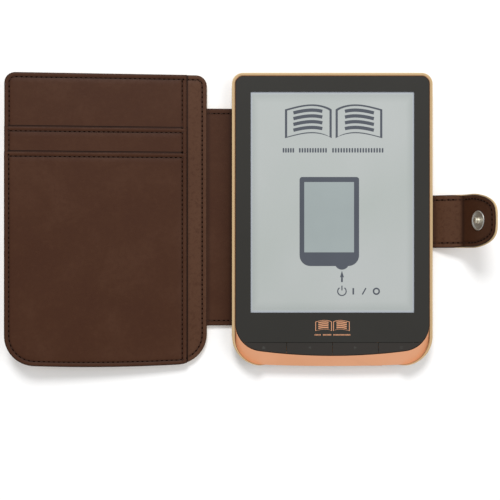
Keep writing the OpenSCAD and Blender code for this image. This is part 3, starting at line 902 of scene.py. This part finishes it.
class Bend:
    """A strip's line at rest in the XZ plane, given by corners (x, z, radius of the fold there)."""

    def __init__(self, corners):
        points = [np.array(corners[0][:2], float)]
        for (x0, z0, _), (x, z, radius), (x1, z1, _) in zip(corners, corners[1:], corners[2:]):
            here = np.array([x, z], float)
            before, after = np.array([x0, z0]) - here, np.array([x1, z1]) - here
            before, after = before / np.linalg.norm(before), after / np.linalg.norm(after)
            half = math.acos(max(-1, min(1, float(before @ after)))) / 2
            reach = radius / max(math.tan(half), 1e-6)
            p, q = here + before * reach, here + after * reach
            points += [p * (1 - t) ** 2 + here * 2 * t * (1 - t) + q * t * t for t in np.linspace(0, 1, 13)]
        points.append(np.array(corners[-1][:2], float))
        line = np.array(points)
        self.length = lengths(line)[-1]
        self.places = np.arange(0, self.length + 0.2, 0.4)
        self.line = picked(line, self.places)

    def at(self, s):
        """The point at a distance s, and its normal, which is up where the line runs to +X."""
        (x0, z0), (x, z), (x1, z1) = picked(self.line, np.clip([s - 0.3, s, s + 0.3], 0, self.length))
        dx, dz = x1 - x0, z1 - z0
        size = max(math.hypot(dx, dz), 1e-9)
        return np.array([x, 0, z]), np.array([-dz / size, 0, dx / size])

    def place(self, s, y, height):
        point, normal = self.at(s)
        return point + normal * height + np.array([0, y, 0])

    def up(self, at):
        """The normal at the point of the line nearest to a place."""
        nearest = np.argmin(((self.line - at[[0, 2]]) ** 2).sum(1))
        return self.at(self.places[nearest])[1]


def strip(name, bend, s0, s1, half_width, heights, material, mid_y, edge_of, crease_of, worn_of=lambda s: 0.0,
          step=0.55):
    """A closed layer of leather along a bend. half_width(s) is half its width, heights(s, y) its lower
    and upper height, edge_of(s, y) the distance to its outline; the last two functions of s give the
    shares of painted shade in creases and of painted sheen."""
    rows = np.linspace(s0, s1, max(2, round((s1 - s0) / step)) + 1)
    columns = [math.sin(math.pi / 2 * (j / 20 - 1)) for j in range(41)]
    low, high, flat, tone, crease, worn = [], [], [], [], [], []
    for s in rows:
        for v in columns:
            y = v * half_width(s)
            z0, z1 = heights(s, y)
            low.append(bend.place(s, mid_y + y, z0))
            high.append(bend.place(s, mid_y + y, z1))
            flat.append((s, y, 0))
            tone.append(edge_of(s, y))
            crease.append(crease_of(s))
            worn.append(worn_of(s))
    n, m, half = len(rows), len(columns), len(low)
    faces = []
    for i in range(n - 1):
        for j in range(m - 1):
            a, b, c, d = i * m + j, i * m + j + 1, (i + 1) * m + j + 1, (i + 1) * m + j
            faces += [(a, b, c, d), (half + d, half + c, half + b, half + a)]
        for j, turn in ((0, 1), (m - 1, -1)):
            a, b = i * m + j, (i + 1) * m + j
            faces.append((a, b, half + b, half + a)[::turn])
    for i, turn in ((0, -1), (n - 1, 1)):
        for j in range(m - 1):
            a, b = i * m + j, i * m + j + 1
            faces.append((a, b, half + b, half + a)[::turn])
    return build(name, low + high, faces, material, smooth_angle=50, flat=flat + flat, edge=tone + tone,
                 crease=crease + crease, worn=worn + worn)


def leather_top(top, radius, distance, groove, inset=STITCH_INSET):
    """A leather face's height at a distance from its edge: rounded, with a groove for its stitches."""
    drop = 0.0
    if distance < radius:
        drop = radius - math.sqrt(max(radius * radius - (radius - distance) ** 2, 0))
    return top - drop - groove * math.exp(-((distance - inset) / 0.5) ** 2)


def bump_at(s, middle, width):
    """A smooth hump of height 1 at `middle`."""
    return math.exp(-((s - middle) / width) ** 2)


def facing(bend, way):
    """The normals along a bend, on the side that `way` gives."""
    return lambda at: bend.up(at) * way


def make_spine():
    """The strip between the panels, sewn in under them. Its halves meet where both follow the spine."""
    into_cover = Matrix.Rotation(COVER_LIFT, 3, "Y") @ Vector((-SEWN_IN, 0, 0))
    bend = Bend([(FOLD_B.x + into_cover.x, FOLD_B.z + into_cover.z, 0), (FOLD_B.x, FOLD_B.z, 9),
                 (FOLD_A.x, FOLD_A.z, 9), (FOLD_A.x + SEWN_IN, FOLD_A.z, 0)])
    middle = bend.length / 2
    mid_y, half = (SPINE_LOW + SPINE_HIGH) / 2, (SPINE_HIGH - SPINE_LOW) / 2

    def face(y):
        return leather_top(SPINE_LAYER, 0.4, half - abs(y), 0.1)

    def upper(s, y):
        return 0.0, face(y)

    def lower(s, y):
        return -face(y), 0.0

    # Painted shade where the strip turns in under each panel.
    def crease(s):
        return 0.5 * bump_at(abs(s - middle), middle - SEWN_IN, 1.1)

    halves = ((0, middle, "cover_fold", ["spine_margin_cover"], []),
              (middle, bend.length, "spine_fold", ["spine_leather", "spine_margin_back"], ["spine_lining"]))
    for s0, s1, joint, outside_nodes, inside_nodes in halves:
        for layer, side, heights, nodes in (("inside", "brown", upper, inside_nodes),
                                            ("outside", "tan", lower, outside_nodes)):
            piece = strip(f"{joint}_{layer}", bend, s0, s1, lambda s: half, heights, LEATHERS[side], mid_y,
                          lambda s, y: half - abs(y), crease)
            finish_piece(piece, joint, side + "_leather", *nodes)
        places = np.arange(s0 + 0.1, s1, 0.5)
        for side, way in (("brown", 1), ("tan", -1)):
            lines = [([tuple(bend.place(s, mid_y + y, way * (SPINE_LAYER - 0.08))) for s in places], False)
                     for y in (half - STITCH_INSET, STITCH_INSET - half)]
            seam(f"{joint}_{side}", joint, lines, side, up=facing(bend, way))


# ---- Strap ----

# The strap narrows over this length to its blunt end, where its brown leather stays inside the tan one
STRAP_TAPER = 20
STRAP_SHY = 0.5


def strap_half(s):
    """Half the strap's width at a distance s from its blunt end."""
    return STRAP_W / 2 * (1 - (1 - min(max(s, 0.0) / STRAP_TAPER, 1)) ** 1.5) ** 0.27


def strap_bend():
    """The strap's line from inside the case, and the distances to its second fold and its split."""
    run = corner("strap_tip_leather").x - FOLD_D.x - STRAP_T / 2 * math.sin(STRAP_RISE)
    tip = run / math.cos(STRAP_RISE)
    bend = Bend([(FOLD_C.x - SEWN_IN, FOLD_C.z, 0), (FOLD_C.x, FOLD_C.z, 7), (FOLD_D.x, FOLD_D.z, 8),
                 (FOLD_D.x + tip * math.cos(STRAP_RISE), FOLD_D.z + tip * math.sin(STRAP_RISE), 0)])
    return bend, bend.length - tip, bend.length - tip - (FOLD_D - FOLD_C).length / 2


def strap_outline(length):
    """The strap laid flat, as (distance along it, y), with closer points round its blunt end."""
    side = [(s, strap_half(length - s)) for s in np.concatenate(
        [np.arange(0, length - 4, 1.0), length - np.geomspace(4, 0.02, 30)])]
    return [(s, -y) for s, y in side] + [(s, y) for s, y in reversed(side)]


def make_strap():
    """Two leathers, the tan one a little larger round the tip, split midway between the two folds."""
    bend, second_fold, split = strap_bend()
    length = bend.length
    outline = strap_outline(length)
    known = {}

    def edge_of(s, y):
        key = (round(s, 3), round(abs(y), 3))
        if key not in known:
            known[key] = float(edge_distance([key], outline)[0]) if s > 12 else STRAP_W / 2 - abs(y)
        return known[key]

    def shy(s):
        """How far the brown leather stays inside the tan one."""
        t = min(max((s - split) / (second_fold - split), 0), 1)
        return STRAP_SHY * t * t * (3 - 2 * t)

    def brown_half(s):
        return max(strap_half(length - s - shy(s)) - shy(s), 0.02)

    # Painted shade at the fold line of the second fold and where the strap comes out of the case.
    def crease(s):
        return 0.75 * bump_at(s, second_fold + 0.6, 1.5) + 0.5 * bump_at(s, SEWN_IN + 0.2, 1.6)

    # Painted sheen: the strap's side is lighter, fading out at its second fold.
    def worn(s):
        return 0.65 / (1 + math.exp((s - second_fold - 0.3) / 1.1))

    def brown_edge(s, y):
        return max(edge_of(s, y) - shy(s), 0)

    def tan_heights(s, y):
        return -leather_top(STRAP_T / 2, 0.9, edge_of(s, y), 0.14), STRAP_MEET

    def brown_heights(s, y):
        return STRAP_MEET, leather_top(STRAP_T / 2, 0.6, brown_edge(s, y), 0.16, STITCH_INSET - shy(s))

    stretches = ((0, split, "side", "strap_root_fold"), (split, length, "tip", "strap_tip_fold"))
    for s0, s1, part, joint in stretches:
        brown = strip(f"strap_{part}_inside", bend, s0, min(s1, length - STRAP_SHY - 0.02), brown_half,
                      brown_heights, brown_leather, 0, brown_edge, crease, worn)
        finish_piece(brown, joint, "brown_leather", f"strap_{part}_lining")
        tan = strip(f"strap_{part}_outside", bend, s0, min(s1, length - 0.02),
                    lambda s: strap_half(length - s), tan_heights, tan_leather, 0, edge_of, lambda s: 0.0)
        root = ["strap_root"] if part == "side" else []
        finish_piece(tan, joint, "tan_leather", f"strap_{part}_leather", *root)
        strap_seams(bend, outline, s0, s1, part, joint)


def strap_seams(bend, outline, s0, s1, part, joint):
    """The part between s0 and s1 of the row of stitches round the strap, on both of its faces."""
    runs = [[]]
    for s, y in inset(outline, 0.5):
        if max(s0, 4) < s <= s1:
            runs[-1].append((s, y))
        elif runs[-1]:
            runs.append([])
    for side, way in (("brown", 1), ("tan", -1)):
        lines = [([tuple(bend.place(s, y, way * (STRAP_T / 2 - 0.07))) for s, y in run], False)
                 for run in runs if len(run) > 4]
        seam(f"strap_{part}_{side}", joint, lines, side, up=facing(bend, way))


# ---- Fittings ----

def make_fittings():
    """The press stud on the strap, its socket in the cover, and a plain round badge."""
    on_strap = (BACK @ Matrix.Translation(FOLD_D) @ Matrix.Rotation(-STRAP_RISE, 4, "Y")
                @ Matrix.Translation((STUD_AT, 0, STRAP_T / 2)))
    dish = [(0, -0.3), (4.6, -0.3), (5.15, 0.0), (5.35, 0.16), (5.35, 0.36), (5.2, 0.54), (4.95, 0.6),
            (4.65, 0.54), (4.4, 0.36), (4.1, 0.26), (2.6, 0.2), (1.2, 0.2), (0, 0.2)]
    knob = [(0, 0.1), (1.7, 0.1), (1.75, 0.3), (1.45, 0.45), (1.3, 0.8), (1.3, 1.25), (1.5, 1.5),
            (1.62, 1.75), (1.58, 2.0), (1.35, 2.2), (0.9, 2.33), (0, 2.38)]
    socket = [(0, -0.8), (5.0, -0.8), (5.4, 0.05), (5.5, 0.25), (5.3, 0.42), (4.9, 0.46), (2.6, 0.4),
              (2.2, 0.34), (1.9, 0.18), (1.8, 0.05), (0, 0.03)]
    badge = [(0, -0.8), (3.9, -0.8), (4.25, 0.3), (4.35, 0.5), (4.3, 0.68), (4.1, 0.8), (3.8, 0.82),
             (3.6, 0.74), (3.45, 0.68), (2.0, 0.76), (0, 0.8)]
    outward = Matrix.Rotation(math.pi, 4, "X")
    at_socket = COVER @ Matrix.Translation((*SOCKET_PLACE, -0.3)) @ outward
    at_badge = COVER @ Matrix.Translation((*BADGE_PLACE, 0)) @ outward
    for name, profile, material, matrix, body, nodes in (
            ("stud_dish", dish, stud_steel, on_strap, "strap_tip", ["snap_stud"]),
            ("stud_knob", knob, pale_metal, on_strap, "strap_tip", []),
            ("socket_ring", socket, stud_steel, at_socket, "front_cover", ["snap_socket"]),
            ("round_badge", badge, pale_metal, at_badge, "front_cover", ["cover_badge"])):
        finish_piece(lathe(name, profile, material, matrix), body, "fitting_metal", *nodes)


make_spine()
make_strap()
make_fittings()


# ---- The reader's own parts ----

LOOKS = (
    (card_board, "back_board cover_board"),
    (copper_paint, "rear_shell power_button"),
    (face_plastic, "front_bezel"),
    (key_plastic, "home_key page_back_key page_forward_key menu_key"),
    (screen_paper, "touch_film epaper_panel"),
    (clear_plastic, "light_guide light_pipe"),
    (ribbon_film, "light_strip battery_lead display_ribbon touch_ribbon key_flex"),
    (frame_alloy, "mid_frame"),
    (pouch_foil, "battery"),
    (circuit_green, "main_board"),
    (chip_black, "processor memory_chip power_chip hall_sensor"),
    (cream_plastic, "board_connectors status_led"),
    (steel, "wifi_module key_domes power_switch charging_port chassis_screws board_screws sleep_magnet"),
)
BEVELS = {"rear_shell": 0.25, "front_bezel": 0.15, "power_button": 0.15, "home_key": 0.12,
          "page_back_key": 0.12, "page_forward_key": 0.12, "menu_key": 0.12}


def dress_nodes():
    """Gives each CAD node that stays its material, and softens the edges of those that show."""
    for material, names in LOOKS:
        for node in names.split():
            piece = frame["nodes"][node]
            piece.data.materials.clear()
            piece.data.materials.append(material)
    for node, width in BEVELS.items():
        piece = frame["nodes"][node]
        weld = piece.modifiers.new("weld", "WELD")
        weld.merge_threshold = 0.002 * MM
        bevel = piece.modifiers.new("bevel", "BEVEL")
        bevel.width = width * MM
        bevel.segments = 3
        bevel.limit_method = "ANGLE"
        bevel.angle_limit = math.radians(35)
        bevel.harden_normals = True


dress_nodes()


# ---- What the screen and the keys show ----

def anticlockwise(outline):
    x, y = np.asarray(outline, float).T
    return outline if np.sum(x * np.roll(y, -1) - np.roll(x, -1) * y) > 0 else outline[::-1]


def plates(name, outlines, z, material, body, slot, thickness=0.03):
    """Thin closed plates with their faces up at z."""
    verts, faces = [], []
    for outline in map(anticlockwise, outlines):
        start = len(verts)
        verts += [(x, y, z - thickness) for x, y in outline] + [(x, y, z) for x, y in outline]
        faces += [tuple(start + i for i in f) for f in ring_faces(2, len(outline))]
    finish_piece(build(name, verts, faces, material, PANELS.get(body, BACK)), body, slot)


def rounded_box(cx, cy, w, h, r, r_low=None):
    """A box outline whose lower corners may have a radius of their own."""
    low = r_low or r
    points = []
    for k, (way_x, way_y, turn) in enumerate(((1, -1, low), (1, 1, r), (-1, 1, r), (-1, -1, low))):
        x, y = cx + way_x * (w / 2 - turn), cy + way_y * (h / 2 - turn)
        points += arc(x, y, turn, 90 * k - 90, 90 * k, 8)
    return points


def band(line, width):
    """The outline of a line drawn with one width."""
    line = np.array(line, float)
    ahead = np.gradient(line, axis=0)
    ahead /= np.linalg.norm(ahead, axis=1, keepdims=True)
    side = np.stack([-ahead[:, 1], ahead[:, 0]], axis=1) * width / 2
    return [tuple(p) for p in line - side] + [tuple(p) for p in (line + side)[::-1]]


def open_book(cx, cy, width, height, line):
    """A generic open book: two pages drawn in outline, each with rules across it."""
    shapes = []
    for way in (-1, 1):
        def across_page(t, y, way=way):
            return cx + way * width * (0.02 + 0.48 * t), cy + y + 0.14 * height * math.sin(math.pi * t ** 0.8)

        low, high = -0.46 * height, 0.34 * height
        top = [across_page(t, high) for t in np.linspace(0, 1, 15)]
        bottom = [across_page(t, low) for t in np.linspace(1, 0, 15)]
        page = top + bottom
        shrink = 2.2 * line / width
        inner = np.array(page) * (1 - shrink) + np.array([cx + way * width * 0.26, cy]) * shrink
        shapes += [page[:15] + [tuple(p) for p in inner[14::-1]],
                   page[15:] + [tuple(p) for p in inner[:14:-1]]]
        shapes += [[page[-1], page[0], tuple(inner[0]), tuple(inner[-1])],
                   [page[14], page[15], tuple(inner[15]), tuple(inner[14])]]
        for share in (0.2, 0.4, 0.6, 0.8):
            rule = [across_page(t, low + (high - low) * share) for t in np.linspace(0.2, 0.82, 12)]
            shapes.append(band(rule, line * 0.8))
    return shapes


def word_rows(runs, y, height, pitch):
    """A line of make-believe writing: upright ticks over each run from x0 to x1."""
    ticks = []
    for x0, x1 in runs:
        count = max(1, round((x1 - x0) / pitch))
        for k in range(count):
            x = x0 + (k + 0.5) * (x1 - x0) / count
            ticks.append(rounded_box(x, y, 0.58 * pitch, height, 0.2 * pitch))
    return ticks


def make_screen_picture():
    """A standby picture: a book over a line, a small reader, an arrow to its button, a power sign, and
    the signs I and O with a stroke between them."""
    z = FILM_Z + 0.03
    x = 5.3
    sign_y = -38.9
    ink = open_book(0.7, 55.2, 54, 20, 2.3)
    ink += word_rows([(-27.8, -21), (-18.8, -2.8), (-0.4, 28.6)], 39.3, 2.5, 1.5)
    ink.append(rounded_box(-1.7, -0.2, 33, 49.4, 1.5, 6))
    ink.append(arc(x, -22.85, 4.05, 210.5, 329.5, 16))
    ink.append([(x, -27.5), (x - 1.1, -31.2), (x - 0.5, -31.0), (x - 0.5, -33.8), (x + 0.5, -33.8),
                (x + 0.5, -31.0), (x + 1.1, -31.2)])
    ink.append(band(arc(x, sign_y, 2.35, 125, 415, 28), 0.62))
    ink.append(rounded_box(x, -37.1, 0.62, 2.7, 0.2))
    ink.append(rounded_box(11.6, sign_y, 0.9, 3.6, 0.2))
    ink.append(band([(16.6, sign_y - 1.8), (17.6, sign_y), (18.6, sign_y + 1.8)], 0.7))
    ink += [band(arc(24.4, sign_y, 1.6, start, start + 180, 14), 0.85) for start in (0, 180)]
    plates("screen_picture", ink, z, screen_ink, "case_back", "screen_paper")
    window = rounded_box(-1.8, 2.2, 27.6, 39, 0.2)
    plates("screen_picture_window", [window], z + 0.015, screen_mid, "case_back", "screen_paper")


def make_marks():
    """A small book on the bezel, and faint signs on the keys: home, back, forward and menu."""
    z = FACE_Z + 0.02
    key_y = KEY_LINE - 3.7
    mark = open_book(0, -57.9, 19, 6.4, 0.7)
    mark += word_rows([(-10, -6.4), (-5.4, -0.6), (0.4, 10)], -63, 0.8, 0.7)
    plates("bezel_mark", mark, z, copper_ink, "case_back", "copper_shell")
    for way, body in ((-1, "page_back"), (1, "page_forward")):
        tip = way * 12.6
        sign = [(tip + way * 0.8, key_y), (tip - way * 0.6, key_y + 0.85), (tip - way * 0.6, key_y - 0.85)]
        plates(body + "_sign", [sign], z, icon_grey, body, "black_keys")
    house = [(-38.9, key_y - 0.8), (-37.3, key_y - 0.8), (-37.3, key_y + 0.1), (-38.1, key_y + 0.9),
             (-38.9, key_y + 0.1)]
    plates("home_sign", [house], z, icon_grey, "home", "black_keys")
    bars = [rounded_box(38.1, key_y + 0.6 * k, 1.7, 0.24, 0.1) for k in (-1, 0, 1)]
    plates("menu_sign", bars, z, icon_grey, "menu", "black_keys")


def make_bezel_seam():
    """The dark joint round the bezel, on the lip of the shell."""
    z = corner("rear_shell").z + 0.02
    inner, outer = bezel_outline(-0.02), bezel_outline(0.38)
    section = ((inner, z - 0.03), (outer, z - 0.03), (outer, z), (inner, z))
    verts = [(x, y, height) for ring, height in section for x, y in ring]
    size = len(inner)
    faces = ring_faces(4, size, caps=False) + [
        (3 * size + i, 3 * size + (i + 1) % size, (i + 1) % size, i) for i in range(size)]
    finish_piece(build("bezel_seam", verts, faces, joint_and_shadow_brown), "case_back", "copper_shell")


def make_lip_shadows():
    """Painted shadow: a dark strip in the crevice beside each pocket's lip."""
    left, right = 0.5 - CASE_W / 2, POCKET_X - 0.1
    lines = ((POCKET_X + 0.05, POCKET_X + 0.55, CASE_BOTTOM + 2.8, CASE_TOP - 0.6, LINING_TOP),
             (left, right, UPPER_LIP + 0.05, UPPER_LIP + 0.6, DOCUMENT_TOP),
             (left, right, LOWER_LIP + 0.05, LOWER_LIP + 0.6, UPPER_TOP))
    for k, (x0, x1, y0, y1, z) in enumerate(lines):
        box = [(x0, y0), (x1, y0), (x1, y1), (x0, y1)]
        plates(f"lip_crease_{k + 1}", [box], z + 0.04, joint_and_shadow_brown, "front_cover", "brown_leather", 0.34)


make_screen_picture()
make_marks()
make_bezel_seam()
make_lip_shadows()


# ---- Floor and light ----

def make_floor():
    bpy.ops.mesh.primitive_plane_add(size=6, location=(0, 0, 0))
    floor = bpy.context.object
    floor.name = "floor"
    shade = Shader("floor", Base_Color=(0.88, 0.88, 0.88, 1), Roughness=0.9, Specular_IOR_Level=0.0,
                   Emission_Color=(1, 1, 1, 1), Emission_Strength=0.05)
    floor.data.materials.append(shade.material)


def area_light(name, place, target, size, power):
    data = bpy.data.lights.new(name, "AREA")
    data.shape = "DISK"
    data.size = size
    data.energy = power
    lamp = bpy.data.objects.new(name, data)
    lamp.location = place
    lamp.rotation_mode = "QUATERNION"
    lamp.rotation_quaternion = (Vector(place) - Vector(target)).to_track_quat("Z", "Y")
    bpy.context.scene.collection.objects.link(lamp)


def make_light():
    world = bpy.data.worlds.new("world")
    bpy.context.scene.world = world
    world.use_nodes = True
    world.node_tree.nodes["Background"].inputs["Color"].default_value = (1, 1, 1, 1)
    world.node_tree.nodes["Background"].inputs["Strength"].default_value = 0.62
    middle = (-0.045, -0.01, 0)
    area_light("key", (-0.12, 0.95, 1.25), middle, 0.55, 15)
    area_light("fill", (0.75, 0.1, 1.2), middle, 0.8, 4)
    bpy.context.scene.view_settings.view_transform = "Standard"


make_floor()
make_light()
